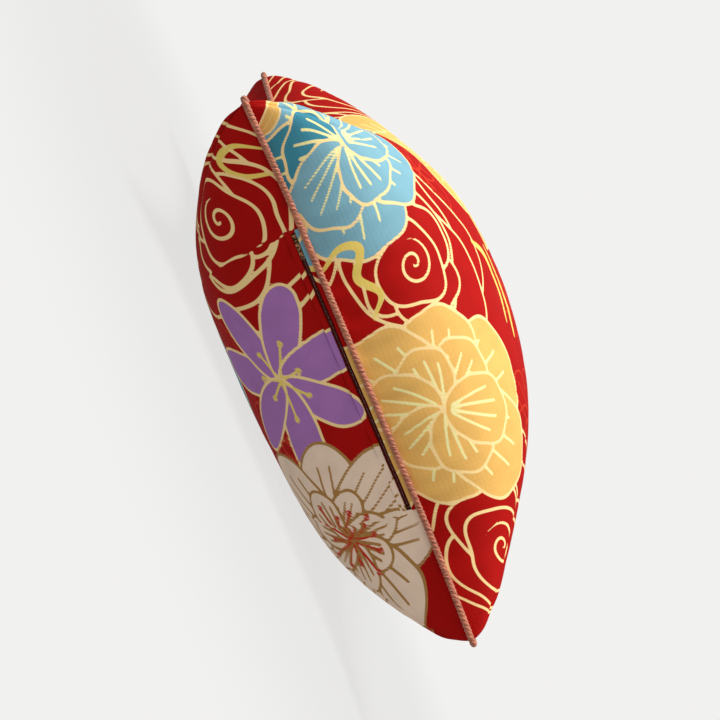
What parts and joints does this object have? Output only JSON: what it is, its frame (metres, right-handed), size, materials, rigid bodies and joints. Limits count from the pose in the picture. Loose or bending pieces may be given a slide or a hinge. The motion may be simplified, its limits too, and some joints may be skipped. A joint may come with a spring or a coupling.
{
  "type": "throw pillow",
  "caption": "Square throw pillow with a bold floral print, corded edges and a concealed side zip over a fibre-filled insert.",
  "frame": {"origin": "middle of the base that the pillow lies on, on its back panel", "axes": "+Z through the thickness towards the front panel, +Y up the print, +X to the right of the print, so the zip is in the side at -X"},
  "size_m": [0.416, 0.4176, 0.21],
  "materials": {
    "printed_cloth": "matte",
    "piping_yarn": "matte",
    "piping_lip": "matte",
    "zip_tape": "matte",
    "zip_coil": "satin",
    "zip_metal": "satin",
    "insert_cloth": "matte",
    "insert_thread": "matte",
    "fibre": "matte"
  },
  "bodies": {
    "root": {"cover_front_panel": "printed_cloth", "cover_back_panel": "printed_cloth", "piping_cord": "piping_yarn", "piping_tape": "piping_lip", "zipper_lip": "printed_cloth", "back_panel_hem": "printed_cloth", "zipper_tape_front": "zip_tape", "zipper_tape_back": "zip_tape", "zipper_coil_front": "zip_coil", "zipper_coil_back": "zip_coil", "zipper_top_stops": "zip_metal", "zipper_bottom_stop": "zip_metal", "insert_front_panel": "insert_cloth", "insert_back_panel": "insert_cloth", "insert_closing_stitches": "insert_thread", "fibre_filling": "fibre"},
    "slider": {"zipper_slider": "zip_metal"},
    "pull": {"zipper_pull": "zip_metal"}
  },
  "joints": [
    {"name": "zipper_slide", "type": "slide", "parent": "root", "child": "slider", "axis": [0, -1, 0], "range_m": [0, 0.192]},
    {"name": "pull_hinge", "type": "hinge", "parent": "slider", "child": "pull", "pos_m": [-0.1643, 0.1001, 0.0858], "axis": [0, 0, -1], "range_deg": [0, 150]}
  ]
}
